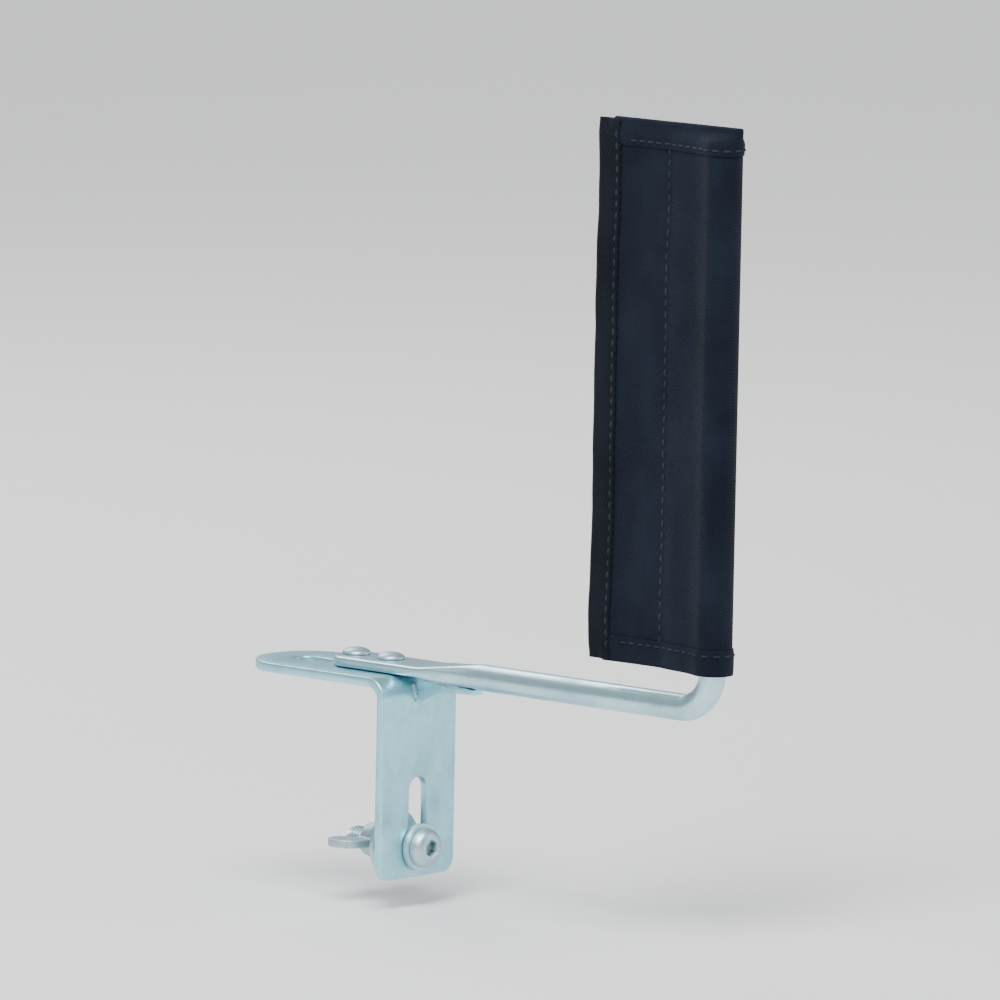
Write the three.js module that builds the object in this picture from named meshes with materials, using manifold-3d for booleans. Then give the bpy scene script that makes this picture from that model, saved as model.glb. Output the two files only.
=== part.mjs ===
// Table tennis net clamp: a slotted angle bracket that bolts to the side of the table frame,
// a bent steel rod that stands up outside the table as the net post, and the fabric sleeve
// of the net slipped over it. Millimetres. +Z is up and +Y points inward over the table.
// The origin is on the inner face of the bracket's leg, at the height of the playing surface.
import * as THREE from "three";
import { mergeVertices } from "three/addons/utils/BufferGeometryUtils.js";
import Module from "manifold-3d";

const wasm = await Module();
wasm.setup();

// ---- driving dimensions ----
const fitGap = 0.3; // radial clearance of a shank in its hole
const slotGap = 0.5; // clearance on each side of the fixing screw in the leg's slot
const seatGap = 0.1; // clearance between faces that rest on each other
const roundSteps = 40; // segments of a full circle
const rivetSteps = 24; // segments of a rivet's circle

const plateThick = 2.5; // sheet of the angle bracket
const bracketWidth = 29;
const bendRadius = 3; // inside radius of the angle's bend
const plateLift = 11; // underside of the top plate above the playing surface
const plateReach = 50.5; // top plate, from the leg's inner face to its free end
const plateCorner = 14; // the free end is almost a half-circle
const legDrop = 40; // leg, from the playing surface down to its lower end
const legCorner = 4;

const legSlotTravel = 15; // how far the fixing screw can be moved along its slot
const legSlotEdge = 4.5; // metal left between the leg slot and the leg's lower end
const cordSlotWidth = 6.5;
const cordSlotLength = 12;
const cordSlotEdge = 9.5; // metal left between the cord slot and the plate's free end

const rodRadius = 3.5;
const postReach = 102; // post axis, outward from the leg's inner face
const postBend = 10; // centreline radius where the rod turns up
const postTop = 162.6; // top of the post's cap above the playing surface
const paddleWidth = 14; // flattened inner end of the rod
const paddleThick = 3;
const paddleReach = 26; // flattened end, inward from the leg's inner face
const paddleOut = 6; // outward from the leg's inner face to where the taper starts
const taperLength = 18; // flattened end to round rod
const paddleSquareness = 4; // how square the edges of the flattened end are; 0 is an ellipse

const capLength = 12;
const capWall = 1;
const capSocket = 8;
const capDome = 2;

const rivetRadius = 2;
const rivetHead = 3.8;
const rivetHeadHeight = 1.7;
const rivetTailHeight = 1.2;
const rivetPitch = 12;
const rivetEdge = 6; // rivet axis, back from the end of the flattened rod

const gussetThick = 4;
const gussetLength = 20;
const gussetDrop = 7; // below the paddle, at the leg
const gussetNose = 1.2; // at its outer end
const gussetHollow = 5; // how far out its lower edge has its sharpest curve

const sleeveHeight = 140;
const sleeveWidth = 46; // across sleeve and edge tape together
const sleeveWall = 1;
const sleeveFlat = 2.6; // two layers lying on each other
const sleeveTopWall = 2;
const channelGap = 0.5; // between the post and the sleeve's channel
const tapeWidth = 5;
const tapeThick = 3.4;
const tapeCorner = 1; // rounding of its free edge
const sleeveTaper = 0.23; // angle, in radians, at which each layer leaves the post
const sleeveEase = 5; // rounding on each side of where the layers meet

const screwRadius = 3;
const screwLength = 25; // under the head
const screwHeadRadius = 5.25;
const screwHeadHeight = 3.3;
const screwCrown = 0.55; // flat middle of the domed head, as a share of its radius
const screwDomeDepth = 0.85; // dome, as a share of the head's height
const socketFlats = 4;
const socketDepth = 1.9;
const screwChamfer = 0.6;
const headWasherRadius = 6.2;
const washerThick = 1.6;
const frameThick = 5; // table frame sheet that the clamp grips
const frameWasherRadius = 9;
const springRadius = 5.4;
const springThick = 1.6;
const springSplit = 1.2;
const springSlant = Math.PI / 9; // slant of the split
const nutHubRadius = 5.5;
const nutTipRadius = 4.4;
const nutHeight = 6;
const nutSpan = 26;
const wingHeight = 11; // from the nut's seat to the wing tips
const wingThick = 2.4;
const wingTip = 3.6;
const wingTipTurn = (3 / 4) * Math.PI; // how much of a circle its tip is
const wingRoot = 1; // how far the wings run into the hub

// ---- places worked out from them ----
const plateTop = plateLift + plateThick;
const bendOuter = bendRadius + plateThick;
const rodLevel = plateTop + seatGap + paddleThick / 2;
const legSlotWidth = 2 * (screwRadius + slotGap);
const legSlotLength = legSlotWidth + legSlotTravel;
const legSlotLow = -legDrop + legSlotEdge;
const screwLevel = legSlotLow + legSlotWidth / 2;
const legSlotMid = legSlotLow + legSlotLength / 2;
const cordSlotMid = plateReach - cordSlotEdge - cordSlotLength / 2;
const sleeveTop = postTop + fitGap + sleeveTopWall;
const channelRadius = rodRadius + channelGap;
const sleeveOuter = channelRadius + sleeveWall;
const headWasherFace = -plateThick - seatGap;
const screwSeat = headWasherFace - washerThick - seatGap;
const frameWasherFace = frameThick;
const springFace = frameWasherFace + washerThick + seatGap;
const nutFace = springFace + springThick + seatGap;

// ---- looks ----
const zinc = { color: 0xb9cdd2, roughness: 0.34, metalness: 0.9 };
const steel = { color: 0xaeb8bb, roughness: 0.42, metalness: 0.9 };
const cloth = { color: 0x1b2230, roughness: 0.92, metalness: 0 };
const tapeCloth = { color: 0x11151f, roughness: 0.9, metalness: 0 };
const plastic = { color: 0x17191b, roughness: 0.5, metalness: 0 };

// ---- solid helpers ----
function toSolid(geometry) {
  const bare = geometry.clone();
  bare.deleteAttribute("normal");
  bare.deleteAttribute("uv");
  const merged = mergeVertices(bare, 1e-4);
  return new wasm.Manifold(
    new wasm.Mesh({
      numProp: 3,
      vertProperties: new Float32Array(merged.attributes.position.array),
      triVerts: new Uint32Array(merged.index.array),
    }),
  );
}

function toGeometry(solid) {
  const mesh = solid.getMesh();
  const geometry = new THREE.BufferGeometry();
  geometry.setAttribute("position", new THREE.BufferAttribute(new Float32Array(mesh.vertProperties), 3));
  geometry.setIndex(new THREE.BufferAttribute(new Uint32Array(mesh.triVerts), 1));
  const faceted = geometry.toNonIndexed();
  faceted.computeVertexNormals();
  return faceted;
}

function extrude(shape, depth) {
  return new THREE.ExtrudeGeometry(shape, { depth, bevelEnabled: false, curveSegments: roundSteps / 4 });
}

// Strip along y whose two corners at its high end are rounded.
function tongue(width, low, high, radius) {
  const half = width / 2;
  const shape = new THREE.Shape();
  shape.moveTo(-half, low);
  shape.lineTo(half, low);
  shape.lineTo(half, high - radius);
  shape.absarc(half - radius, high - radius, radius, 0, Math.PI / 2, false);
  shape.absarc(-half + radius, high - radius, radius, Math.PI / 2, Math.PI, false);
  shape.closePath();
  return shape;
}

// Slot with round ends, length measured over the ends, along y.
function slotShape(width, length) {
  const radius = width / 2;
  const run = length / 2 - radius;
  const shape = new THREE.Shape();
  shape.absarc(0, run, radius, 0, Math.PI, false);
  shape.absarc(0, -run, radius, Math.PI, 2 * Math.PI, false);
  shape.closePath();
  return shape;
}

// A profile of [radius, height] points, listed from the low end up, turned about +Z.
function turned(profile, steps = roundSteps) {
  const points = profile.map(([radius, height]) => new THREE.Vector2(radius, height));
  return new THREE.LatheGeometry(points, steps).rotateX(Math.PI / 2);
}

// Ring of rectangular section about +Z, resting on z = 0.
function ring(inner, outer, thick) {
  return turned([[inner, 0], [outer, 0], [outer, thick], [inner, thick], [inner, 0]]);
}

// Turns a shape made about +Z so that its axis runs along +Y.
function alongY(geometry) {
  return geometry.rotateX(-Math.PI / 2);
}

// Closed skin through a row of rings that have the same number of points.
function loft(rings) {
  const count = rings[0].length;
  const positions = rings.flat().flatMap((point) => [point.x, point.y, point.z]);
  const index = [];
  for (let r = 0; r + 1 < rings.length; r += 1) {
    for (let i = 0; i < count; i += 1) {
      const a = r * count + i;
      const b = r * count + ((i + 1) % count);
      index.push(a, b, a + count, b, b + count, a + count);
    }
  }
  const last = (rings.length - 1) * count;
  for (let i = 1; i + 1 < count; i += 1) {
    index.push(0, i + 1, i);
    index.push(last, last + i, last + i + 1);
  }
  const geometry = new THREE.BufferGeometry();
  geometry.setAttribute("position", new THREE.Float32BufferAttribute(positions, 3));
  geometry.setIndex(index);
  geometry.computeVertexNormals();
  return geometry;
}

// ---- angle bracket ----
function angleBracket() {
  const bendZ = plateLift - bendRadius;
  const profile = new THREE.Shape(); // its x is Y and its y is Z
  profile.moveTo(-plateThick, -legDrop);
  profile.lineTo(0, -legDrop);
  profile.lineTo(0, bendZ);
  profile.absarc(bendRadius, bendZ, bendRadius, Math.PI, Math.PI / 2, true);
  profile.lineTo(plateReach, plateLift);
  profile.lineTo(plateReach, plateTop);
  profile.lineTo(bendRadius, plateTop);
  profile.absarc(bendRadius, bendZ, bendOuter, Math.PI / 2, Math.PI, false);
  profile.closePath();
  const blank = extrude(profile, bracketWidth);
  blank.rotateX(Math.PI / 2).rotateZ(Math.PI / 2).translate(-bracketWidth / 2, 0, 0);

  const span = plateReach + legDrop;
  const plan = extrude(tongue(bracketWidth, -span, plateReach, plateCorner), 2 * span);
  plan.translate(0, 0, -span);
  const front = extrude(tongue(bracketWidth, -span, legDrop, legCorner), 2 * span);
  front.rotateX(-Math.PI / 2).translate(0, -span, 0);

  const legSlot = extrude(slotShape(legSlotWidth, legSlotLength), 4 * plateThick);
  legSlot.rotateX(Math.PI / 2).translate(0, 2 * plateThick, legSlotMid);
  const cordSlot = extrude(slotShape(cordSlotWidth, cordSlotLength), 4 * plateThick);
  cordSlot.translate(0, cordSlotMid, plateLift - plateThick);

  let solid = toSolid(blank).intersect(toSolid(plan)).intersect(toSolid(front));
  solid = solid.subtract(toSolid(legSlot)).subtract(toSolid(cordSlot));
  for (const y of rivetPlaces) solid = solid.subtract(rivetHole(y));
  return toGeometry(solid);
}

// ---- rivets through the flattened rod and the top plate ----
const rivetPlaces = [0, 1].map((i) => paddleReach - rivetEdge - i * rivetPitch);

function rivetHole(y) {
  const radius = rivetRadius + fitGap;
  const hole = new THREE.CylinderGeometry(radius, radius, 4 * (plateThick + paddleThick), rivetSteps);
  hole.rotateX(Math.PI / 2).translate(0, y, plateTop);
  return toSolid(hole);
}

function rivet() {
  const tail = plateLift - seatGap;
  const seat = rodLevel + paddleThick / 2 + seatGap;
  const profile = [[0, tail - rivetTailHeight]];
  profile.push([rivetHead - rivetTailHeight / 2, tail - rivetTailHeight]);
  profile.push([rivetHead, tail - rivetTailHeight / 2], [rivetHead, tail]);
  profile.push([rivetRadius, tail], [rivetRadius, seat], [rivetHead, seat]);
  const domeSteps = 6;
  for (let i = 1; i <= domeSteps; i += 1) {
    const angle = (Math.PI / 2) * (i / domeSteps);
    profile.push([i < domeSteps ? rivetHead * Math.cos(angle) : 0, seat + rivetHeadHeight * Math.sin(angle)]);
  }
  return turned(profile, rivetSteps);
}

// ---- net post rod: flattened inner end, taper, bend, upright, spigot for the cap ----
const ringPoints = 24;
const capBase = postTop - capLength;
const sideways = new THREE.Vector3(1, 0, 0);

// Cross-section of the rod, from an oblong with round corners (flat = 1) to a circle (flat = 0).
function rodRing(y, z, tilt, halfWidth, halfHeight, flat) {
  const centre = new THREE.Vector3(0, y, z);
  const up = new THREE.Vector3(0, Math.sin(tilt), Math.cos(tilt));
  const power = 2 / (2 + paddleSquareness * flat);
  return Array.from({ length: ringPoints }, (unused, i) => {
    const angle = (2 * Math.PI * i) / ringPoints;
    const across = Math.sign(Math.cos(angle)) * Math.abs(Math.cos(angle)) ** power;
    const along = Math.sign(Math.sin(angle)) * Math.abs(Math.sin(angle)) ** power;
    return centre.clone().addScaledVector(sideways, halfWidth * across).addScaledVector(up, halfHeight * along);
  });
}

// Half the rod's height at a distance outward from the leg's inner face.
function rodHalfHeight(out) {
  const t = Math.min(Math.max((out - paddleOut) / taperLength, 0), 1);
  return paddleThick / 2 + (rodRadius - paddleThick / 2) * t;
}

function postRod() {
  const half = paddleWidth / 2;
  const rings = [];
  const noseSteps = 7;
  for (let i = 1; i <= noseSteps; i += 1) {
    const angle = (Math.PI / 2) * (i / noseSteps);
    const y = paddleReach - half * (1 - Math.cos(angle));
    rings.push(rodRing(y, rodLevel, 0, half * Math.sin(angle), paddleThick / 2, 1));
  }
  const taperSteps = 8;
  for (let i = 0; i <= taperSteps; i += 1) {
    const t = i / taperSteps;
    const out = paddleOut + taperLength * t;
    rings.push(rodRing(-out, rodLevel, 0, half + (rodRadius - half) * t, rodHalfHeight(out), 1 - t));
  }
  const bendSteps = 10;
  for (let i = 0; i <= bendSteps; i += 1) {
    const angle = (Math.PI / 2) * (i / bendSteps);
    const y = -postReach + postBend * (1 - Math.sin(angle));
    const z = rodLevel + postBend * (1 - Math.cos(angle));
    rings.push(rodRing(y, z, angle, rodRadius, rodRadius, 0));
  }
  const spigot = rodRadius - capWall - fitGap;
  const spigotTop = capBase + capSocket - fitGap;
  rings.push(rodRing(-postReach, capBase, Math.PI / 2, rodRadius, rodRadius, 0));
  rings.push(rodRing(-postReach, capBase, Math.PI / 2, spigot, spigot, 0));
  rings.push(rodRing(-postReach, spigotTop, Math.PI / 2, spigot, spigot, 0));
  let solid = toSolid(loft(rings));
  for (const y of rivetPlaces) solid = solid.subtract(rivetHole(y));
  return toGeometry(solid);
}

function postCap() {
  const inner = rodRadius - capWall;
  const shoulder = capLength - capDome;
  const profile = [[inner, seatGap], [rodRadius, seatGap], [rodRadius, shoulder]];
  const domeSteps = 6;
  for (let i = 1; i <= domeSteps; i += 1) {
    const angle = (Math.PI / 2) * (i / domeSteps);
    profile.push([i < domeSteps ? rodRadius * Math.cos(angle) : 0, shoulder + capDome * Math.sin(angle)]);
  }
  profile.push([0, capSocket], [inner, capSocket], [inner, seatGap]);
  return turned(profile);
}

// ---- gusset under the rod, against the leg ----
function gusset() {
  const legSide = plateThick + seatGap;
  const tip = legSide + gussetLength;
  const under = (out) => rodLevel - rodHalfHeight(out) - seatGap;
  const shape = new THREE.Shape(); // its x is the distance outward and its y is Z
  shape.moveTo(legSide, under(legSide));
  shape.lineTo(legSide, under(legSide) - gussetDrop);
  shape.quadraticCurveTo(legSide + gussetHollow, under(tip) - gussetNose, tip, under(tip) - gussetNose);
  shape.lineTo(tip, under(tip));
  shape.lineTo(paddleOut, under(paddleOut));
  shape.closePath();
  const solid = extrude(shape, gussetThick);
  return solid.rotateX(Math.PI / 2).rotateZ(-Math.PI / 2).translate(gussetThick / 2, 0, 0);
}

// ---- net sleeve and its edge tape ----
const sleeveBack = -postReach - sleeveOuter; // outermost fabric
const panelEdge = sleeveBack + sleeveWidth - tapeWidth - fitGap;

function netSleeve() {
  const half = sleeveFlat / 2;
  const edgeX = sleeveOuter * Math.cos(sleeveTaper);
  const edgeY = -postReach + sleeveOuter * Math.sin(sleeveTaper);
  const meetY = edgeY + (edgeX - half) / Math.tan(sleeveTaper);
  const easeX = half + sleeveEase * Math.sin(sleeveTaper);
  const easeY = meetY - sleeveEase * Math.cos(sleeveTaper);
  const shape = new THREE.Shape();
  shape.moveTo(half, panelEdge);
  shape.lineTo(half, meetY + sleeveEase);
  shape.quadraticCurveTo(half, meetY, easeX, easeY);
  shape.absarc(0, -postReach, sleeveOuter, sleeveTaper, -Math.PI - sleeveTaper, true);
  shape.lineTo(-easeX, easeY);
  shape.quadraticCurveTo(-half, meetY, -half, meetY + sleeveEase);
  shape.lineTo(-half, panelEdge);
  shape.closePath();
  const panel = extrude(shape, sleeveHeight).translate(0, 0, sleeveTop - sleeveHeight);
  const depth = sleeveHeight - sleeveTopWall;
  const channel = new THREE.CylinderGeometry(channelRadius, channelRadius, 2 * depth, roundSteps);
  channel.rotateX(Math.PI / 2).translate(0, -postReach, sleeveTop - sleeveTopWall - depth);
  return toGeometry(toSolid(panel).subtract(toSolid(channel)));
}

function edgeTape() {
  const half = tapeThick / 2;
  const shape = new THREE.Shape();
  shape.moveTo(-half, 0);
  shape.lineTo(half, 0);
  shape.lineTo(half, tapeWidth - tapeCorner);
  shape.quadraticCurveTo(half, tapeWidth, half - tapeCorner, tapeWidth);
  shape.lineTo(tapeCorner - half, tapeWidth);
  shape.quadraticCurveTo(-half, tapeWidth, -half, tapeWidth - tapeCorner);
  shape.closePath();
  return extrude(shape, sleeveHeight).translate(0, panelEdge + fitGap, sleeveTop - sleeveHeight);
}

// ---- fixing through the leg slot, each piece about +Y with its outer face at y = 0 ----
function fixingScrew() {
  const tip = screwHeadHeight + screwLength;
  const profile = [[0, 0], [screwHeadRadius * screwCrown, 0]];
  const domeSteps = 6;
  for (let i = 1; i <= domeSteps; i += 1) {
    const t = i / domeSteps;
    const radius = screwHeadRadius * (screwCrown + (1 - screwCrown) * Math.sin((Math.PI / 2) * t));
    profile.push([radius, screwHeadHeight * screwDomeDepth * (1 - Math.cos((Math.PI / 2) * t))]);
  }
  profile.push([screwHeadRadius, screwHeadHeight], [screwRadius, screwHeadHeight]);
  profile.push([screwRadius, tip - screwChamfer], [screwRadius - screwChamfer, tip], [0, tip]);
  const socketRadius = socketFlats / Math.sqrt(3);
  const socket = new THREE.CylinderGeometry(socketRadius, socketRadius, 2 * socketDepth, 6);
  return toGeometry(toSolid(alongY(turned(profile))).subtract(toSolid(socket)));
}

function washer(outer) {
  return alongY(ring(screwRadius + fitGap, outer, washerThick));
}

function springWasher() {
  const split = new THREE.BoxGeometry(springSplit, 4 * springThick, 2 * springRadius);
  split.rotateZ(springSlant).translate(0, springThick / 2, springRadius);
  const whole = alongY(ring(screwRadius + fitGap, springRadius, springThick));
  return toGeometry(toSolid(whole).subtract(toSolid(split)));
}

// Outline of one wing, its x outward from the nut's axis and its y along the axis.
function wingShape() {
  const root = nutTipRadius - wingRoot;
  const tipX = nutSpan / 2 - wingTip;
  const tipY = wingHeight - wingTip;
  const shape = new THREE.Shape();
  shape.moveTo(root, seatGap);
  shape.quadraticCurveTo(nutSpan / 2, seatGap, nutSpan / 2, tipY);
  shape.absarc(tipX, tipY, wingTip, 0, wingTipTurn, false);
  shape.quadraticCurveTo(nutHubRadius, nutHeight, root, nutHeight - seatGap);
  shape.closePath();
  return shape;
}

function wingNut() {
  const hub = turned([[0, 0], [nutHubRadius, 0], [nutTipRadius, nutHeight], [0, nutHeight]]);
  const wing = extrude(wingShape(), wingThick).translate(0, 0, -wingThick / 2);
  const bore = new THREE.CylinderGeometry(screwRadius + fitGap, screwRadius + fitGap, 4 * nutHeight, roundSteps);
  let solid = toSolid(alongY(hub)).add(toSolid(wing)).add(toSolid(wing.clone().rotateY(Math.PI)));
  solid = solid.subtract(toSolid(bore));
  return toGeometry(solid);
}

// ---- assembly ----
function part(name, geometry, look, x = 0, y = 0, z = 0) {
  const mesh = new THREE.Mesh(geometry, new THREE.MeshStandardMaterial(look));
  mesh.name = name;
  mesh.position.set(x, y, z);
  return mesh;
}

const bracket = new THREE.Group();
bracket.add(part("angle_bracket", angleBracket(), zinc));
bracket.add(part("post_rod", postRod(), zinc));
bracket.add(part("gusset", gusset(), zinc));
bracket.add(part("post_cap", postCap(), plastic, 0, -postReach, capBase));
rivetPlaces.forEach((y, i) => bracket.add(part(`rod_rivet_${i + 1}`, rivet(), steel, 0, y, 0)));

const fixing = new THREE.Group();
fixing.position.z = screwLevel;
fixing.add(part("fixing_screw", fixingScrew(), steel, 0, screwSeat - screwHeadHeight, 0));
fixing.add(part("head_washer", washer(headWasherRadius), steel, 0, headWasherFace - washerThick, 0));
fixing.add(part("frame_washer", washer(frameWasherRadius), steel, 0, frameWasherFace, 0));
fixing.add(part("spring_washer", springWasher(), steel, 0, springFace, 0));
fixing.add(part("wing_nut", wingNut(), steel, 0, nutFace, 0));

const sleeve = new THREE.Group();
sleeve.add(part("net_sleeve", netSleeve(), cloth));
sleeve.add(part("edge_tape", edgeTape(), tapeCloth));

const clamp = new THREE.Group();
clamp.add(bracket, fixing, sleeve);

export default clamp;
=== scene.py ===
"""Table tennis net clamp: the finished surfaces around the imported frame.

Metres, +Z up, +Y inward over the table. Places and overall sizes come from the boxes of the CAD nodes.
Smaller measures, such as sheet thickness, slots, corners and stitches, are values in this file.
"""

import math
import random

import bmesh
import bpy
from mathutils import Matrix, Vector, geometry, noise


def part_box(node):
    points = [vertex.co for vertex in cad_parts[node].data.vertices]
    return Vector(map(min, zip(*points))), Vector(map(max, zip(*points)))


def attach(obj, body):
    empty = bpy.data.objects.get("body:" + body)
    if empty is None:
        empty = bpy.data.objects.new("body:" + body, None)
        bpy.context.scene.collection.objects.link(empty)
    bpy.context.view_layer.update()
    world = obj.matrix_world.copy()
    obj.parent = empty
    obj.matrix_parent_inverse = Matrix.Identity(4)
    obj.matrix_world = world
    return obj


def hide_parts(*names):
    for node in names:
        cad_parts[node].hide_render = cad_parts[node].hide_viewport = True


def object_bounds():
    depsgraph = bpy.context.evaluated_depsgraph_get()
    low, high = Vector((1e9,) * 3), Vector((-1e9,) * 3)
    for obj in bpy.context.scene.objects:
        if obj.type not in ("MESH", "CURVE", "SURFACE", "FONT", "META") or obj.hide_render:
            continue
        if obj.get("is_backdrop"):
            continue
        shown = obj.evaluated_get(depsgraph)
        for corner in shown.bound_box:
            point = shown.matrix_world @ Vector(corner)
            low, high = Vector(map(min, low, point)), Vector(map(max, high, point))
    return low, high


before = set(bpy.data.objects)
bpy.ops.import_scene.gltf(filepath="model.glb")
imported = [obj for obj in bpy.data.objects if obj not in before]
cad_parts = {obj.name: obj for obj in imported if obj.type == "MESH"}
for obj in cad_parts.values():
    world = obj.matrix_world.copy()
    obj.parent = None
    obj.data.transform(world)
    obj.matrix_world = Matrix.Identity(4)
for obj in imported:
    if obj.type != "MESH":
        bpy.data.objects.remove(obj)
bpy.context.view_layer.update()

MM = 0.001
TURN = 2 * math.pi


# ---------------------------------------------------------------- measures of the frame
class Box:
    """Lowest and highest corners, middle and size of a CAD node."""

    def __init__(self, node):
        self.low, self.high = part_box(node)
        self.mid = (self.low + self.high) / 2
        self.size = self.high - self.low


plate_box = Box("angle_bracket")
rod_box = Box("post_rod")
cap_box = Box("post_cap")
gusset_box = Box("gusset")
screw_box = Box("fixing_screw")
head_washer_box = Box("head_washer")
frame_washer_box = Box("frame_washer")
spring_box = Box("spring_washer")
nut_box = Box("wing_nut")
sleeve_box = Box("net_sleeve")
tape_box = Box("edge_tape")
rivet_boxes = [Box("rod_rivet_1"), Box("rod_rivet_2")]

SEAT_GAP = 0.1 * MM  # between two pieces that lie on each other
HOLE_GAP = 0.3 * MM  # between the screw and a hole
PLATE_THICK = 2.5 * MM
BEND_INNER = 3 * MM
FOOT_CORNER = 4 * MM
END_CORNER = 14 * MM
LEG_SLOT_WIDTH = 7 * MM
LEG_SLOT_TRAVEL = 15 * MM
LEG_SLOT_EDGE = 4.5 * MM  # metal below the leg's slot
CORD_SLOT_WIDTH = 6.5 * MM
CORD_SLOT_LENGTH = 12 * MM
CORD_SLOT_EDGE = 9.5 * MM  # metal beyond the cord slot
PADDLE_THICK = 3 * MM  # the rod's flattened end
FLAT_OUT = 6 * MM  # how far outward the rod stays flat
FLAT_TAPER = 18 * MM  # length over which it then becomes round
ROD_RADIUS = cap_box.size.x / 2
POST_Y = cap_box.mid.y
POST_BEND = 10 * MM
ROD_LEVEL = plate_box.high.z + SEAT_GAP + PADDLE_THICK / 2
SCREW_RADIUS = 3 * MM
SCREW_Z = screw_box.mid.z
THREAD_PITCH = 1 * MM


# ---------------------------------------------------------------- mesh helpers
def piece(name, verts, faces, sharp_deg=32.0):
    """A mesh object with smooth faces and sharp edges where they meet at more than sharp_deg."""
    mesh = bpy.data.meshes.new(name)
    mesh.from_pydata([tuple(v) for v in verts], [], faces)
    obj = bpy.data.objects.new(name, mesh)
    bpy.context.scene.collection.objects.link(obj)
    finish_mesh(obj, sharp_deg)
    return obj


def finish_mesh(obj, sharp_deg=32.0):
    """Merges doubled points, turns the faces outward and marks the sharp edges."""
    bm = bmesh.new()
    bm.from_mesh(obj.data)
    bmesh.ops.remove_doubles(bm, verts=bm.verts, dist=1e-7)
    bmesh.ops.recalc_face_normals(bm, faces=bm.faces)
    limit = math.radians(sharp_deg)
    for face in bm.faces:
        face.smooth = True
    for edge in bm.edges:
        if len(edge.link_faces) == 2:
            edge.smooth = edge.calc_face_angle(0.0) < limit
    bm.to_mesh(obj.data)
    bm.free()
    obj.data.update()


def grid_faces(rows, count):
    """Faces between rows of count points each, open at both ends of a row."""
    faces = []
    for j in range(rows):
        for i in range(count - 1):
            a = j * count + i
            faces.append((a, a + 1, a + 1 + count, a + count))
    return faces


def thicken(obj, name, thickness):
    """Gives a sheet its thickness, half on each side."""
    shell = obj.modifiers.new(name, "SOLIDIFY")
    shell.thickness = thickness
    shell.offset = 0


def place(obj, body, slot, *nodes, material):
    """Gives a piece its material and body and hides the CAD nodes that it stands for; the slot argument is
    not used.
    """
    obj.data.materials.clear()
    obj.data.materials.append(material)
    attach(obj, body)
    if nodes:
        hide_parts(*nodes)
    return obj


def loft(name, rings, closed_ends=True, sharp_deg=32.0):
    """A skin through rings that have the same number of points."""
    count = len(rings[0])
    verts = [p for ring in rings for p in ring]
    faces = []
    for r in range(len(rings) - 1):
        for i in range(count):
            a = r * count + i
            b = r * count + (i + 1) % count
            faces.append((a, b, b + count, a + count))
    if closed_ends:
        faces.append(tuple(range(count))[::-1])
        last = (len(rings) - 1) * count
        faces.append(tuple(range(last, last + count)))
    return piece(name, verts, faces, sharp_deg)


def lathe(name, profile, centre, axis="Y", steps=72, sharp_deg=32.0):
    """Turns a closed or axis-to-axis profile of (radius, height) points about an axis through centre."""
    rings = []
    for k in range(steps):
        angle = TURN * k / steps
        c, s = math.cos(angle), math.sin(angle)
        ring = []
        for radius, height in profile:
            local = Vector((radius * c, radius * s, height))
            if axis == "Y":
                local = Vector((local.x, local.z, -local.y))
            ring.append(centre + local)
        rings.append(ring)
    count = len(profile)
    closed = profile[0] == profile[-1]
    verts = [p for ring in rings for p in ring]
    faces = []
    for k in range(steps):
        a, b = k * count, ((k + 1) % steps) * count
        for i in range(count - 1):
            faces.append((a + i, a + i + 1, b + i + 1, b + i))
    obj = piece(name, verts, faces, sharp_deg)
    if not closed:
        bm = bmesh.new()
        bm.from_mesh(obj.data)
        bmesh.ops.dissolve_degenerate(bm, dist=1e-8, edges=bm.edges)
        bm.to_mesh(obj.data)
        bm.free()
    return obj


def arc(cx, cy, radius, start_deg, end_deg, steps):
    """Points of an arc in a profile or an outline."""
    points = []
    for i in range(steps + 1):
        angle = math.radians(start_deg + (end_deg - start_deg) * i / steps)
        points.append((cx + radius * math.cos(angle), cy + radius * math.sin(angle)))
    return points


def curve(t, start, pull, end):
    """A point of the curve from start to end that pull draws toward itself."""
    return tuple((1 - t) ** 2 * a + 2 * t * (1 - t) * b + t * t * c for a, b, c in zip(start, pull, end))


def offset_loop(loop, distance):
    """A counter-clockwise outline moved to its left (inward) by distance."""
    count = len(loop)
    moved = []
    for i in range(count):
        before, here, after = (Vector(loop[(i + k) % count]) for k in (-1, 0, 1))
        d1 = (here - before).normalized()
        d2 = (after - here).normalized()
        n1, n2 = Vector((-d1.y, d1.x)), Vector((-d2.y, d2.x))
        mid = (n1 + n2).normalized()
        moved.append(tuple(here + mid * (distance / max(0.3, mid.dot(n1)))))
    return moved


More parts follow.
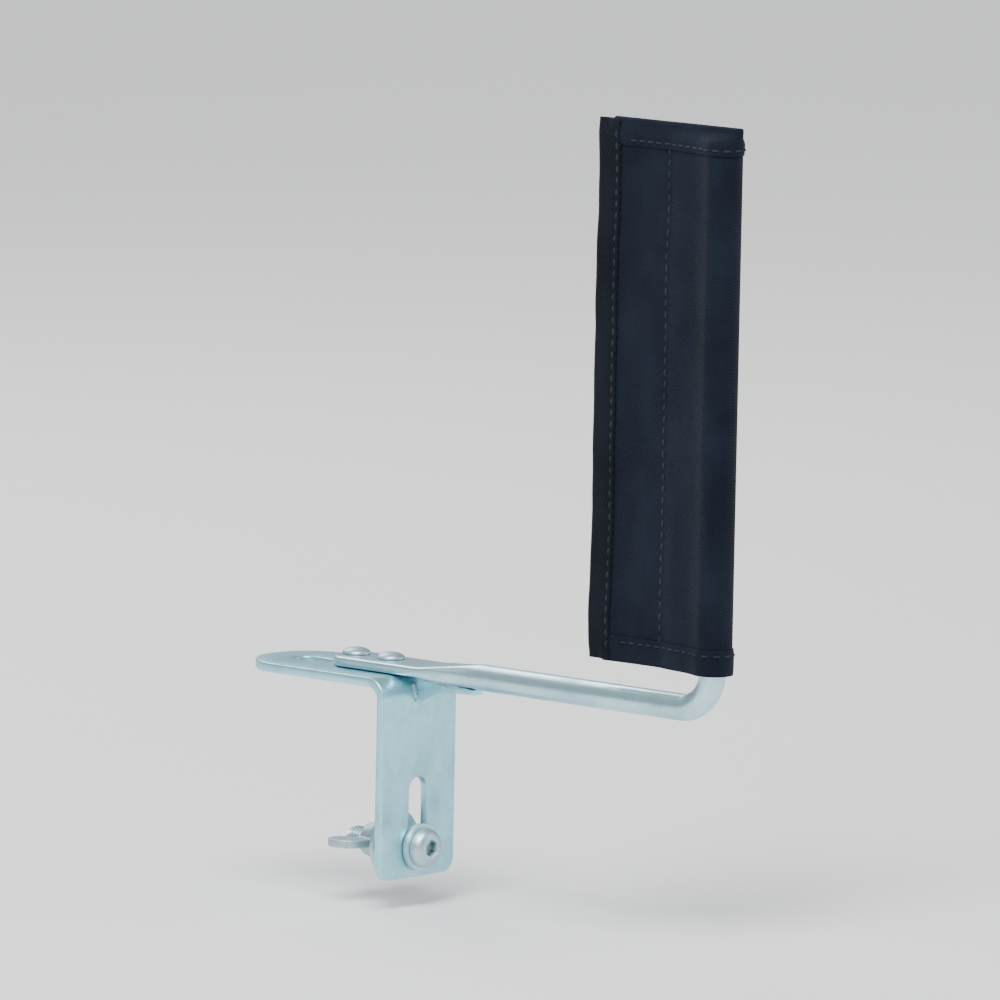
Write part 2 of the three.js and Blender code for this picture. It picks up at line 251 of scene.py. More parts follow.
def sheet_metal(name, outer, holes, thick, round_edge, shape_fn, cross_lines=(), sharp_deg=40.0):
    """A plate cut to an outline with holes, with rounded edges, then formed by shape_fn(u, v, w).

    outer runs counter-clockwise, holes clockwise, so that offset_loop moves both into the metal.
    cross_lines are the v values at which the plate gets rows of points, for a bend.
    """
    steps = 3
    levels = []
    for i in range(steps + 1):
        angle = (math.pi / 2) * i / steps
        levels.append((round_edge * (1 - math.sin(angle)), round_edge * (1 - math.cos(angle))))
    levels += [(inset, thick - w) for inset, w in reversed(levels)]
    verts, faces, flat_loops = [], [], []
    for loop in [outer, *holes]:
        rows = []
        for inset, w in levels:
            moved = offset_loop(loop, inset)
            start = len(verts)
            verts += [(u, v, w) for u, v in moved]
            rows.append(range(start, len(verts)))
        for low, high in zip(rows, rows[1:]):
            for i in range(len(loop)):
                j = (i + 1) % len(loop)
                faces.append((low[i], low[j], high[j], high[i]))
        flat_loops.append(offset_loop(loop, round_edge))
    for w, flip in ((0.0, True), (thick, False)):
        fill_verts, fill_faces = filled(flat_loops, cross_lines)
        start = len(verts)
        verts += [(p[0], p[1], w) for p in fill_verts]
        for f in fill_faces:
            ids = tuple(start + k for k in f)
            faces.append(ids[::-1] if flip else ids)
    formed = [shape_fn(*v) for v in verts]
    return piece(name, formed, faces, sharp_deg)


def filled(loops, cross_lines):
    """Triangles over an outline with holes, with a row of points along each cross line."""
    points, edges = [], []
    for loop in loops:
        start = len(points)
        points += [Vector(p) for p in loop]
        edges += [(start + i, start + (i + 1) % len(loop)) for i in range(len(loop))]
    left = min(p.x for p in points)
    right = max(p.x for p in points)
    for v in cross_lines:
        start = len(points)
        points += [Vector((left, v)), Vector((right, v))]
        edges.append((start, start + 1))
    cut = geometry.delaunay_2d_cdt(points, edges, [], 0, 1e-8)
    return cut[0], [f for f in cut[2] if inside_all([cut[0][k] for k in f], loops)]


def inside_all(triangle, loops):
    """Whether a triangle's middle lies in the outline and in none of the holes."""
    x = sum(p.x for p in triangle) / 3
    y = sum(p.y for p in triangle) / 3
    return point_in(x, y, loops[0]) and not any(point_in(x, y, hole) for hole in loops[1:])


def point_in(x, y, loop):
    """Whether a point lies in an outline, by counting the edges to its right."""
    hit = False
    for i, (x1, y1) in enumerate(loop):
        x2, y2 = loop[i - 1]
        if (y1 > y) != (y2 > y) and x < (x2 - x1) * (y - y1) / (y2 - y1) + x1:
            hit = not hit
    return hit


def slot_loop(cx, cy, width, length, steps=14):
    """A clockwise slot with round ends, along v."""
    r = width / 2
    run = length / 2 - r
    return arc(cx, cy + run, r, 180, 0, steps) + arc(cx, cy - run, r, 0, -180, steps)


# ---------------------------------------------------------------- node materials
class Nodes:
    """Short names for building a node material."""

    def __init__(self, name):
        self.material = bpy.data.materials.new(name)
        self.material.use_nodes = True
        self.tree = self.material.node_tree
        self.shader = self.tree.nodes["Principled BSDF"]
        self.position = self.add("ShaderNodeTexCoord").outputs["Object"]

    def add(self, kind, **values):
        node = self.tree.nodes.new(kind)
        for key, value in values.items():
            if hasattr(node, key):
                setattr(node, key, value)
            else:
                node.inputs[key.replace("_", " ")].default_value = value
        return node

    def link(self, source, target):
        self.tree.links.new(source, target)

    def scaled(self, scale):
        """Object coordinates stretched along each axis."""
        node = self.add("ShaderNodeMapping")
        node.inputs["Scale"].default_value = scale
        self.link(self.position, node.inputs["Vector"])
        return node.outputs["Vector"]

    def noise(self, scale, detail=3.0, roughness=0.55, stretch=None):
        node = self.add("ShaderNodeTexNoise")
        node.inputs["Scale"].default_value = scale
        node.inputs["Detail"].default_value = detail
        node.inputs["Roughness"].default_value = roughness
        self.link(self.scaled(stretch) if stretch else self.position, node.inputs["Vector"])
        return node.outputs["Fac"]

    def ramp(self, source, *stops):
        node = self.add("ShaderNodeValToRGB")
        ramp = node.color_ramp
        while len(ramp.elements) < len(stops):
            ramp.elements.new(0.5)
        for element, (place_at, colour) in zip(ramp.elements, stops):
            element.position = place_at
            element.color = (*colour, 1) if len(colour) == 3 else colour
        self.link(source, node.inputs["Fac"])
        return node.outputs["Color"]

    def grey(self, source, low_at, low, high_at, high):
        """A grey ramp between two positions of source."""
        return self.ramp(source, (low_at, (low,) * 3), (high_at, (high,) * 3))

    def mix(self, factor, a, b, blend="MIX"):
        node = self.add("ShaderNodeMix", data_type="RGBA", blend_type=blend)
        if isinstance(factor, float):
            node.inputs[0].default_value = factor
        else:
            self.link(factor, node.inputs[0])
        for source, socket in ((a, node.inputs[6]), (b, node.inputs[7])):
            if isinstance(source, tuple):
                socket.default_value = (*source, 1)
            else:
                self.link(source, socket)
        return node.outputs[2]

    def math(self, operation, a, b=None):
        node = self.add("ShaderNodeMath", operation=operation)
        for source, socket in ((a, node.inputs[0]), (b, node.inputs[1])):
            if source is None:
                continue
            if isinstance(source, (int, float)):
                socket.default_value = source
            else:
                self.link(source, socket)
        return node.outputs[0]

    def bump(self, height, distance, strength=1.0, after=None):
        node = self.add("ShaderNodeBump")
        node.inputs["Strength"].default_value = strength
        node.inputs["Distance"].default_value = distance
        self.link(height, node.inputs["Height"])
        if after is not None:
            self.link(after, node.inputs["Normal"])
        return node.outputs["Normal"]

    def finish(self, colour, rough, normal, metallic=0.0, sheen=0.0):
        """Joins the layers to the shader. Sheen marks a cloth, which also gets a low specular level."""
        self.link(colour, self.shader.inputs["Base Color"])
        self.link(rough, self.shader.inputs["Roughness"])
        self.link(normal, self.shader.inputs["Normal"])
        self.shader.inputs["Metallic"].default_value = metallic
        if sheen:
            self.shader.inputs["Specular IOR Level"].default_value = 0.13
            self.shader.inputs["Sheen Weight"].default_value = sheen
            self.shader.inputs["Sheen Roughness"].default_value = 0.45
        return self.material


def zinc_material(name, light, dark, grain, base_rough):
    """Electroplated zinc: cloudy cool grey, faint rolling lines, fine scratches, dull spots, rubbed edges and
    painted shade in the hollows.
    """
    n = Nodes(name)
    cloud = n.noise(95.0, 5.0, 0.6)
    fine = n.noise(900.0, 3.0, 0.6)
    rolled = n.noise(240.0, 4.0, 0.7, stretch=grain)
    scratch = n.noise(420.0, 2.0, 0.5, stretch=(grain[1], grain[2], grain[0]))
    spots = n.noise(330.0, 2.0, 0.5)
    base = n.ramp(cloud, (0.3, dark), (0.52, light), (0.75, tuple(min(1, c * 1.05) for c in light)))
    tint = n.mix(n.grey(fine, 0.42, 0.0, 0.62, 0.2), base, (0.40, 0.55, 0.66))
    bloom = n.mix(n.grey(spots, 0.66, 0.0, 0.74, 0.35), tint, (0.74, 0.84, 0.86))
    lined = n.mix(n.grey(rolled, 0.35, 0.0, 0.7, 0.16), bloom, (0.33, 0.44, 0.50))
    edge = n.add("ShaderNodeNewGeometry").outputs["Pointiness"]
    broken = n.math("ADD", edge, n.math("MULTIPLY", n.math("SUBTRACT", spots, 0.5), 0.06))
    worn = n.grey(broken, 0.525, 0.0, 0.575, 0.7)
    lined = n.mix(worn, lined, tuple(min(1.0, c * 1.22) for c in light))
    # painted shade: the colour darkens where the pointiness is low, in hollows and inside corners
    hollow_shade = n.grey(broken, 0.43, 0.75, 0.49, 0.0)
    lined = n.mix(hollow_shade, lined, tuple(c * 0.38 for c in dark))
    stain = n.noise(38.0, 4.0, 0.65)
    stained = tuple(c * t for c, t in zip(dark, (0.93, 0.97, 0.94)))
    lined = n.mix(n.grey(stain, 0.5, 0.0, 0.72, 0.3), lined, stained)
    rough_cloud = n.grey(cloud, 0.3, base_rough + 0.1, 0.7, base_rough - 0.05)
    rough = n.mix(n.grey(scratch, 0.6, 0.0, 0.72, 0.5), rough_cloud, (base_rough + 0.2,) * 3)
    relief = n.bump(rolled, 0.03 * MM, 0.35)
    relief = n.bump(fine, 0.02 * MM, 0.3, after=relief)
    return n.finish(lined, rough, relief, metallic=0.88)


def cloth_material(name, dark, light, pitch, rib=1.0, sheen=0.25):
    """Plain-woven nylon: warp and weft threads of one pitch, lying over and under each other, with painted
    shade where they dip.
    """
    n = Nodes(name)
    split = n.add("ShaderNodeSeparateXYZ")
    n.link(n.position, split.inputs[0])
    wave = TURN / (2 * pitch)
    across = n.math("SINE", n.math("MULTIPLY", split.outputs["Y"], wave))
    along = n.math("SINE", n.math("MULTIPLY", split.outputs["Z"], wave * rib))
    side = n.math("SINE", n.math("MULTIPLY", split.outputs["X"], wave))
    weave = n.math("MULTIPLY", n.math("ADD", across, n.math("MULTIPLY", side, 0.4)), along)
    height = n.math("ADD", n.math("MULTIPLY", weave, 0.5), 0.5)
    fuzz = n.noise(2600.0, 2.0, 0.6)
    fade = n.noise(42.0, 4.0, 0.55)
    streak = n.noise(120.0, 3.0, 0.6, stretch=(1.0, 1.0, 0.18))
    # painted shade: the weave's low points are darker, so the crowns of the threads read lighter
    thread = n.ramp(height, (0.15, tuple(c * 0.55 for c in dark)), (0.8, dark))
    worn = n.mix(n.grey(fade, 0.38, 0.0, 0.7, 0.55), thread, light)
    lined = n.mix(n.grey(streak, 0.45, 0.0, 0.75, 0.25), worn, tuple(c * 1.25 for c in light))
    dusty = n.mix(n.grey(fuzz, 0.55, 0.0, 0.8, 0.22), lined, tuple(c * 1.7 for c in light))
    rough = n.grey(fade, 0.3, 0.94, 0.7, 0.78)
    relief = n.bump(height, 0.12 * MM, 0.8)
    relief = n.bump(fuzz, 0.04 * MM, 0.4, after=relief)
    return n.finish(dusty, rough, relief, sheen=sheen)


def plastic_material(name, dark, light):
    """Moulded black plastic with a fine spark-eroded grain and rubbed patches."""
    n = Nodes(name)
    grain = n.noise(1800.0, 3.0, 0.6)
    rub = n.noise(160.0, 3.0, 0.6)
    colour = n.mix(n.grey(rub, 0.4, 0.0, 0.7, 0.5), dark, light)
    rough = n.grey(rub, 0.35, 0.62, 0.7, 0.42)
    return n.finish(colour, rough, n.bump(grain, 0.03 * MM, 0.5))


def weld_material(name):
    """A plated weld bead: darker, rougher zinc with heat-tinted mottling."""
    n = Nodes(name)
    mottle = n.noise(680.0, 4.0, 0.65)
    colour = n.ramp(mottle, (0.3, (0.17, 0.24, 0.26)), (0.5, (0.31, 0.49, 0.54)), (0.7, (0.42, 0.62, 0.67)))
    rough = n.grey(mottle, 0.3, 0.62, 0.7, 0.4)
    return n.finish(colour, rough, n.bump(mottle, 0.12 * MM, 0.7), metallic=0.8)


zinc_plate = zinc_material("zinc_plate", (0.35, 0.685, 0.77), (0.25, 0.505, 0.58), (1.0, 0.08, 0.08), 0.36)
zinc_rod = zinc_material("zinc_rod", (0.47, 0.71, 0.775), (0.34, 0.55, 0.61), (1.0, 0.06, 0.06), 0.3)
zinc_fastener = zinc_material("zinc_fastener", (0.44, 0.60, 0.65), (0.29, 0.42, 0.46), (0.3, 1.0, 0.3), 0.4)
zinc_cast = zinc_material("zinc_cast", (0.43, 0.53, 0.565), (0.29, 0.38, 0.41), (1.0, 1.0, 1.0), 0.48)
weld_metal = weld_material("weld_metal")
sleeve_cloth = cloth_material(
    "sleeve_cloth", (0.0036, 0.0064, 0.0145), (0.0074, 0.0124, 0.025), 0.42 * MM, sheen=0.04
)
tape_cloth = cloth_material(
    "tape_cloth", (0.0028, 0.0043, 0.0085), (0.0056, 0.0088, 0.016), 0.55 * MM, rib=0.5, sheen=0.04
)
thread_cloth = cloth_material("thread_cloth", (0.015, 0.02, 0.03), (0.036, 0.044, 0.06), 0.2 * MM, sheen=0.05)
cap_plastic = plastic_material("cap_plastic", (0.012, 0.013, 0.014), (0.028, 0.029, 0.031))


# ---------------------------------------------------------------- angle bracket
BEND_MID = BEND_INNER + PLATE_THICK / 2
BEND_START = plate_box.high.z - PLATE_THICK - BEND_INNER
BEND_RUN = BEND_MID * math.pi / 2


def bracket_form(u, v, w):
    """Folds the flat blank: v runs up the leg, round the bend and inward along the top plate."""
    if v <= BEND_START:
        return Vector((u, -PLATE_THICK + w, v))
    turn = min((v - BEND_START) / BEND_RUN, 1.0) * math.pi / 2
    radius = BEND_INNER + PLATE_THICK - w
    y = BEND_INNER - radius * math.cos(turn)
    z = BEND_START + radius * math.sin(turn)
    return Vector((u, y + max(0.0, v - BEND_START - BEND_RUN), z))


def make_bracket():
    """The slotted angle: its flat blank is cut out, then folded."""
    half = plate_box.size.x / 2
    foot = plate_box.low.z
    end = BEND_START + BEND_RUN + plate_box.high.y - BEND_INNER
    bend_rows = [BEND_START + BEND_RUN * i / 12 for i in range(13)]
    outer = arc(-half + FOOT_CORNER, foot + FOOT_CORNER, FOOT_CORNER, 180, 270, 10)
    outer += arc(half - FOOT_CORNER, foot + FOOT_CORNER, FOOT_CORNER, 270, 360, 10)
    outer += [(half, v) for v in bend_rows]
    outer += arc(half - END_CORNER, end - END_CORNER, END_CORNER, 0, 90, 16)
    outer += arc(-half + END_CORNER, end - END_CORNER, END_CORNER, 90, 180, 16)
    outer += [(-half, v) for v in reversed(bend_rows)]
    leg_slot_length = LEG_SLOT_WIDTH + LEG_SLOT_TRAVEL
    holes = [
        slot_loop(0, foot + LEG_SLOT_EDGE + leg_slot_length / 2, LEG_SLOT_WIDTH, leg_slot_length),
        slot_loop(0, end - CORD_SLOT_EDGE - CORD_SLOT_LENGTH / 2, CORD_SLOT_WIDTH, CORD_SLOT_LENGTH),
    ]
    obj = sheet_metal(
        "bracket_plate", outer, holes, PLATE_THICK, 0.45 * MM, bracket_form, cross_lines=bend_rows
    )
    return place(obj, "bracket", "zinc", "angle_bracket", material=zinc_plate)


make_bracket()


# ---------------------------------------------------------------- post rod
def rod_section(centre, tilt, half_width, half_height, flat, points=56):
    """A cross-section of the rod, from a flat oblong (flat = 1) to a circle (flat = 0)."""
    up = Vector((0, math.sin(tilt), math.cos(tilt)))
    power = 2 / (2 + 3.5 * flat)
    ring = []
    for i in range(points):
        c, s = math.cos(TURN * i / points), math.sin(TURN * i / points)
        across = math.copysign(abs(c) ** power, c) * half_width
        along = math.copysign(abs(s) ** power, s) * half_height
        ring.append(centre + Vector((across, 0, 0)) + up * along)
    return ring


def make_rod():
    """The rod: rounded flat end, taper, run, bend, upright and the spigot under the cap."""
    half = rod_box.size.x / 2
    tip = rod_box.high.y
    rings = []
    nose = 18
    for i in range(1, nose + 1):
        angle = (math.pi / 2) * i / nose
        y = tip - half * (1 - math.cos(angle))
        soft = 0.55 + 0.45 * min(1.0, math.sin(angle) * 1.5)
        height = PADDLE_THICK / 2 * soft
        rings.append(rod_section(Vector((0, y, ROD_LEVEL)), 0, half * math.sin(angle), height, 1))
    for i in range(1, 12):
        y = (tip - half) + (-FLAT_OUT - tip + half) * i / 12
        rings.append(rod_section(Vector((0, y, ROD_LEVEL)), 0, half, PADDLE_THICK / 2, 1))
    steps = 22
    for i in range(steps + 1):
        t = i / steps
        ease = t * t * (3 - 2 * t)
        height = PADDLE_THICK / 2 + (ROD_RADIUS - PADDLE_THICK / 2) * t
        width = half + (ROD_RADIUS - half) * ease
        centre = Vector((0, -FLAT_OUT - FLAT_TAPER * t, ROD_LEVEL))
        rings.append(rod_section(centre, 0, width, height, 1 - ease))
    bend = 26
    for i in range(bend + 1):
        angle = (math.pi / 2) * i / bend
        y = POST_Y + POST_BEND * (1 - math.sin(angle))
        z = ROD_LEVEL + POST_BEND * (1 - math.cos(angle))
        squeeze = 0.025 * math.sin(2 * angle)
        width, height = ROD_RADIUS * (1 + squeeze), ROD_RADIUS * (1 - squeeze)
        rings.append(rod_section(Vector((0, y, z)), angle, width, height, 0))
    shoulder = cap_box.low.z - SEAT_GAP
    spigot = ROD_RADIUS - 1.3 * MM
    for z, radius in (
        (shoulder - 0.5 * MM, ROD_RADIUS),
        (shoulder, ROD_RADIUS - 0.4 * MM),
        (shoulder, spigot),
        (rod_box.high.z, spigot),
    ):
        rings.append(rod_section(Vector((0, POST_Y, z)), math.pi / 2, radius, radius, 0))
    obj = loft("post_bar", rings, sharp_deg=45)
    return place(obj, "bracket", "zinc", "post_rod", material=zinc_rod)


make_rod()


def make_cap():
    """Moulded cap with a parting ring and a small gate mark on its dome."""
    r, height = ROD_RADIUS, cap_box.size.z
    inner = r - 1 * MM
    profile = [(inner, 0), (r - 0.25 * MM, 0), (r, 0.25 * MM), (r, 1.4 * MM)]
    profile += [(r - 0.2 * MM, 1.6 * MM), (r - 0.2 * MM, 1.9 * MM), (r, 2.1 * MM)]
    dome = 2 * MM
    gate = height - 0.12 * MM
    bore = 8 * MM
    for i in range(13):
        angle = (math.pi / 2) * i / 12
        radius = max(0.45 * MM, r * math.cos(angle))
        profile.append((radius, height - dome + dome * math.sin(angle)))
    profile += [(0.4 * MM, gate), (0, gate), (0, bore), (inner, bore), (inner, 0)]
    obj = lathe("rod_cap", profile, Vector((0, POST_Y, cap_box.low.z)), axis="Z")
    return place(obj, "bracket", "cap_plastic", "post_cap", material=cap_plastic)


make_cap()


def make_rivet(index, box):
    """A rivet with a pressed dome on the paddle and an upset tail under the plate."""
    centre = Vector((box.mid.x, box.mid.y, 0))
    head, shank = box.size.x / 2, 2 * MM
    seat = ROD_LEVEL + PADDLE_THICK / 2 + SEAT_GAP
    tail = plate_box.high.z - PLATE_THICK - SEAT_GAP
    upset = tail - box.low.z
    rim = 0.15 * MM
    profile = [(0, box.low.z), (head * 0.62, box.low.z)]
    for i in range(7):
        angle = math.pi / 2 * i / 6
        profile.append((head - upset * (1 - math.sin(angle)), tail - upset * math.cos(angle)))
    profile += [(shank, tail), (shank, seat), (head - rim, seat), (head, seat + rim)]
    rise = box.high.z - seat - rim
    for i in range(1, 12):
        angle = (math.pi / 2) * i / 12
        profile.append((head * math.cos(angle), seat + rim + rise * math.sin(angle)))
    profile.append((0, box.high.z))
    obj = lathe(f"rivet_{index}", profile, centre, axis="Z", steps=56)
    return place(obj, "bracket", "fastener_steel", f"rod_rivet_{index}", material=zinc_fastener)


for number, rivet_box in enumerate(rivet_boxes, start=1):
    make_rivet(number, rivet_box)


# ---------------------------------------------------------------- gusset and its welds
def gusset_top(out):
    """Height of the gusset's top edge, which follows the rod's underside."""
    t = min(max((out - FLAT_OUT) / FLAT_TAPER, 0), 1)
    return ROD_LEVEL - (PADDLE_THICK / 2 + (ROD_RADIUS - PADDLE_THICK / 2) * t) - SEAT_GAP


def gusset_low(t):
    """Point of the gusset's hollow lower edge, from the leg (t = 0) to the tip (t = 1)."""
    leg = -gusset_box.high.y
    tip = -gusset_box.low.y
    nose = gusset_top(tip) - 1.2 * MM
    p0 = Vector((leg, gusset_box.low.z))
    p1 = Vector((leg + (tip - leg) / 4, nose))
    p2 = Vector((tip, nose))
    return p0 * (1 - t) ** 2 + p1 * 2 * t * (1 - t) + p2 * t**2


def make_gusset():
    """The stiffener under the rod, cut from plate and set on edge."""
    leg, tip = -gusset_box.high.y, -gusset_box.low.y
    lower = [tuple(gusset_low(i / 14)) for i in range(15)]
    upper = [(out, gusset_top(out)) for out in (tip, (tip + leg) * 0.5, FLAT_OUT, leg)]
    outer = lower + upper
    thick = gusset_box.size.x

    def form(u, v, w):
        return Vector((w - thick / 2, -u, v))

    obj = sheet_metal("gusset_plate", outer, [], thick, 0.4 * MM, form)
    return place(obj, "bracket", "zinc", "gusset", material=zinc_plate)


make_gusset()


def weld_bead(name, path, radius, ripple):
    """A bead of weld along a path: overlapping ripples on a flattened tube."""
    fine = []
    for a, b in zip(path, path[1:]):
        count = max(2, round((b - a).length / (0.22 * MM)))
        fine += [a.lerp(b, k / count) for k in range(count)]
    fine.append(path[-1])
    rings, run = [], 0.0
    points = 18
    for i, p in enumerate(fine):
        ahead = fine[min(i + 1, len(fine) - 1)]
        behind = fine[max(i - 1, 0)]
        direction = (ahead - behind).normalized()
        run += (p - fine[i - 1]).length if i else 0.0
        side = direction.orthogonal().normalized()
        other = direction.cross(side)
        ends = min(1.0, 0.25 + 4 * min(i, len(fine) - 1 - i) / len(fine))
        wobble = 1 + 0.12 * abs(math.sin(math.pi * run / ripple)) + 0.12 * noise.noise(p * 900)
        ring = []
        for k in range(points):
            angle = TURN * k / points
            ring.append(p + (side * math.cos(angle) + other * math.sin(angle)) * radius * ends * wobble)
        rings.append(ring)
    obj = loft(name, rings, sharp_deg=70)
    return place(obj, "bracket", "zinc", material=weld_metal)


def make_welds():
    """A bead on each side of the gusset, along the rod and down the bend of the bracket."""
    half = gusset_box.size.x / 2
    leg = -gusset_box.high.y
    ripple = 0.9 * MM
    reach = BEND_INNER + PLATE_THICK + 0.15 * MM
    for sign, side in ((1, "right"), (-1, "left")):
        x = sign * half
        stops = (leg + 1 * MM, 8 * MM, 13 * MM, 18 * MM)
        top = [Vector((x, -out, gusset_top(out) - 0.2 * MM)) for out in stops]
        weld_bead(f"weld_rod_{side}", top, 0.85 * MM, ripple)
        down = [Vector((x, -leg + 0.1 * MM, gusset_box.low.z + 0.6 * MM))]
        for degrees in (0, 14, 28, 42):
            turn = math.radians(degrees)
            y = BEND_INNER - reach * math.cos(turn)
            down.append(Vector((x, y, BEND_START + reach * math.sin(turn))))
        weld_bead(f"weld_leg_{side}", down, 0.8 * MM, ripple)


make_welds()


# ---------------------------------------------------------------- screw, washers and wing nut
def make_screw():
    """Button-head screw: domed head with a hexagon socket, threaded shank with a chamfered tip."""
    steps = 60
    outer_face = screw_box.low.y
    head_r, head_h = screw_box.size.x / 2, 3.3 * MM
    tip = screw_box.high.y
    socket_flats, depth = 4 * MM, 1.9 * MM
    seat = outer_face + head_h

    def socket_radius(angle):
        step = math.pi / 3
        local = (angle + step / 2) % step - step / 2
        return socket_flats / 2 / math.cos(local)

    def ring(radius_fn, y):
        out = []
        for k in range(steps):
            angle = TURN * k / steps
            r = radius_fn(angle)
            out.append(Vector((r * math.cos(angle), y, SCREW_Z + r * math.sin(angle))))
        return out

    rings = [ring(lambda a: 0.25 * MM, outer_face + depth + 0.35 * MM)]
    rings.append(ring(lambda a: socket_radius(a) * 0.98, outer_face + depth))
    rings.append(ring(socket_radius, outer_face + 0.35 * MM))
    rings.append(ring(lambda a: socket_radius(a) + 0.25 * MM, outer_face + 0.02 * MM))
    for i in range(1, 13):
        t = i / 12
        r = head_r * (0.58 + 0.42 * math.sin(math.pi / 2 * t))
        y = outer_face + head_h * 0.86 * (1 - math.cos(math.pi / 2 * t))
        rings.append(ring(lambda a, r=r: r, y))
    rings.append(ring(lambda a: head_r - 0.12 * MM, seat))
    plain_r = SCREW_RADIUS - 0.12 * MM
    rings.append(ring(lambda a: plain_r + 0.25 * MM, seat))
    rings.append(ring(lambda a: plain_r, seat + 0.3 * MM))
    thread_start, thread_end = seat + 1.0 * MM, tip - 0.6 * MM
    rows = round((thread_end - thread_start) / (THREAD_PITCH / 8))
    cut = 0.55 * MM
    for j in range(rows + 1):
        y = thread_start + (thread_end - thread_start) * j / rows
        lead_in = min(1.0, (y - thread_start) / THREAD_PITCH)
        lead_out = min(1.0, (thread_end - y) / (1.4 * THREAD_PITCH))

        def radius(angle, y=y, lead_in=lead_in, lead_out=lead_out):
            phase = (y / THREAD_PITCH + angle / TURN) % 1.0
            valley = max(0.0, 1 - abs(phase - 0.5) / 0.42)
            crest = SCREW_RADIUS - (1 - lead_out) * 0.45 * MM
            return crest - cut * min(1.0, valley) * lead_in

        rings.append(ring(radius, y))
    rings.append(ring(lambda a: SCREW_RADIUS - 0.75 * MM, tip - 0.15 * MM))
    rings.append(ring(lambda a: SCREW_RADIUS - 0.95 * MM, tip))
    obj = loft("cap_screw", rings, sharp_deg=38)
    return place(obj, "fixing", "fastener_steel", "fixing_screw", material=zinc_fastener)


make_screw()


def make_washer(name, body, box, node):
    """A stamped washer: rolled over on one side, with a slight burr on the other."""
    inner, outer = SCREW_RADIUS + HOLE_GAP, box.size.x / 2
    thick, roll = box.size.y, 0.4 * MM
    quarter = [math.pi / 2 * i / 5 for i in range(6)]
    profile = [(outer, 0.12 * MM), (outer - 0.06 * MM, 0), (inner + 0.1 * MM, 0.02 * MM), (inner, 0.14 * MM)]
    profile += [(inner, thick - roll)]
    for a in quarter[1:]:
        profile.append((inner + roll * (1 - math.cos(a)), thick - roll * (1 - math.sin(a))))
    for a in quarter:
        profile.append((outer - roll * (1 - math.sin(a)), thick - roll * (1 - math.cos(a))))
    profile.append(profile[0])
    centre = Vector((0, box.low.y, SCREW_Z))
    obj = lathe(name, profile, centre, steps=96)
    return place(obj, body, "fastener_steel", node, material=zinc_fastener)


make_washer("screw_washer", "fixing", head_washer_box, "head_washer")
make_washer("large_washer", "washers", frame_washer_box, "frame_washer")


def make_spring_washer():
    """A split ring of square wire whose ends stand slightly apart."""
    inner, outer = SCREW_RADIUS + HOLE_GAP, spring_box.size.x / 2
    mid, half = (inner + outer) / 2, (outer - inner) / 2
    thick = spring_box.size.y - 0.3 * MM
    gap = math.radians(15)
    rings = []
    steps = 90
    for i in range(steps + 1):
        t = i / steps
        angle = math.pi / 2 + gap / 2 + (TURN - gap) * t
        lift = spring_box.low.y + 0.3 * MM * t
        ring = []
        for dr, dy in rounded_square(half, thick / 2, 0.18 * MM):
            r = mid + dr
            ring.append(Vector((r * math.cos(angle), lift + thick / 2 + dy, SCREW_Z + r * math.sin(angle))))
        rings.append(ring)
    obj = loft("lock_washer", rings)
    return place(obj, "washers", "fastener_steel", "spring_washer", material=zinc_fastener)


def rounded_square(half_x, half_y, radius, steps=3):
    """The section of the spring washer's wire."""
    points = []
    for cx, cy, start in ((1, 1, 0), (-1, 1, 90), (-1, -1, 180), (1, -1, 270)):
        points += arc(cx * (half_x - radius), cy * (half_y - radius), radius, start, start + 90, steps)
    return points


make_spring_washer()


def make_wing_nut():
    """A cast wing nut: hub and wings joined, rounded by remeshing, then bored."""
    base = nut_box.low.y
    hub_low, hub_top, hub_height = 5.35 * MM, 4.3 * MM, 6 * MM
    span, wing_height, wing_thick, tip_r = nut_box.size.x / 2, nut_box.size.y, 2.2 * MM, 3.6 * MM
    centre = Vector((0, base, SCREW_Z))
    hub_profile = [(0, 0), (hub_low, 0), (hub_low, 0.6 * MM), (hub_top, hub_height), (0, hub_height)]
    hub = lathe("hub", hub_profile, centre)
    bm = bmesh.new()
    bm.from_mesh(hub.data)
    tip_x, tip_y = span - tip_r, wing_height - tip_r
    root = 2.5 * MM  # how far out of the hub's axis each wing begins
    outline = [(root, 0.15 * MM)]
    for i in range(1, 11):
        t = i / 10
        outline.append(curve(t, (root, 0.15 * MM), (span, 0.2 * MM), (span, tip_y)))
    outline += arc(tip_x, tip_y, tip_r, 8, 135, 12)
    last = outline[-1]
    for i in range(1, 9):
        t = i / 8
        outline.append(curve(t, last, (hub_low, hub_height), (root, hub_height - 0.1 * MM)))
    for sign in (1, -1):
        front = [bm.verts.new((sign * x, base + y, SCREW_Z - wing_thick / 2)) for x, y in outline]
        back = [bm.verts.new((sign * x, base + y, SCREW_Z + wing_thick / 2)) for x, y in outline]
        bm.faces.new(front)
        bm.faces.new(back[::-1])
        for i in range(len(outline)):
            j = (i + 1) % len(outline)
            bm.faces.new((front[i], back[i], back[j], front[j]))
    bmesh.ops.recalc_face_normals(bm, faces=bm.faces)
    bm.to_mesh(hub.data)
    bm.free()
    remesh = hub.modifiers.new("Remesh", "REMESH")
    remesh.mode = "VOXEL"
    remesh.voxel_size = 0.24 * MM
    smooth = hub.modifiers.new("Smooth", "SMOOTH")
    smooth.factor = 0.5
    smooth.iterations = 9
    applied(hub)
    bore_r, bore_low, bore_high = SCREW_RADIUS + 0.05 * MM, -3 * MM, 12 * MM
    bore_profile = [(0, bore_low), (bore_r, bore_low), (bore_r, bore_high), (0, bore_high)]
    bore = lathe("bore", bore_profile, centre, steps=64)
    cut = hub.modifiers.new("Bore", "BOOLEAN")
    cut.operation = "DIFFERENCE"
    cut.object = bore
    applied(hub)
    bpy.data.objects.remove(bore)
    hub.name = "cast_wing_nut"
    finish_mesh(hub, 40)
    return place(hub, "nut", "fastener_steel", "wing_nut", material=zinc_cast)


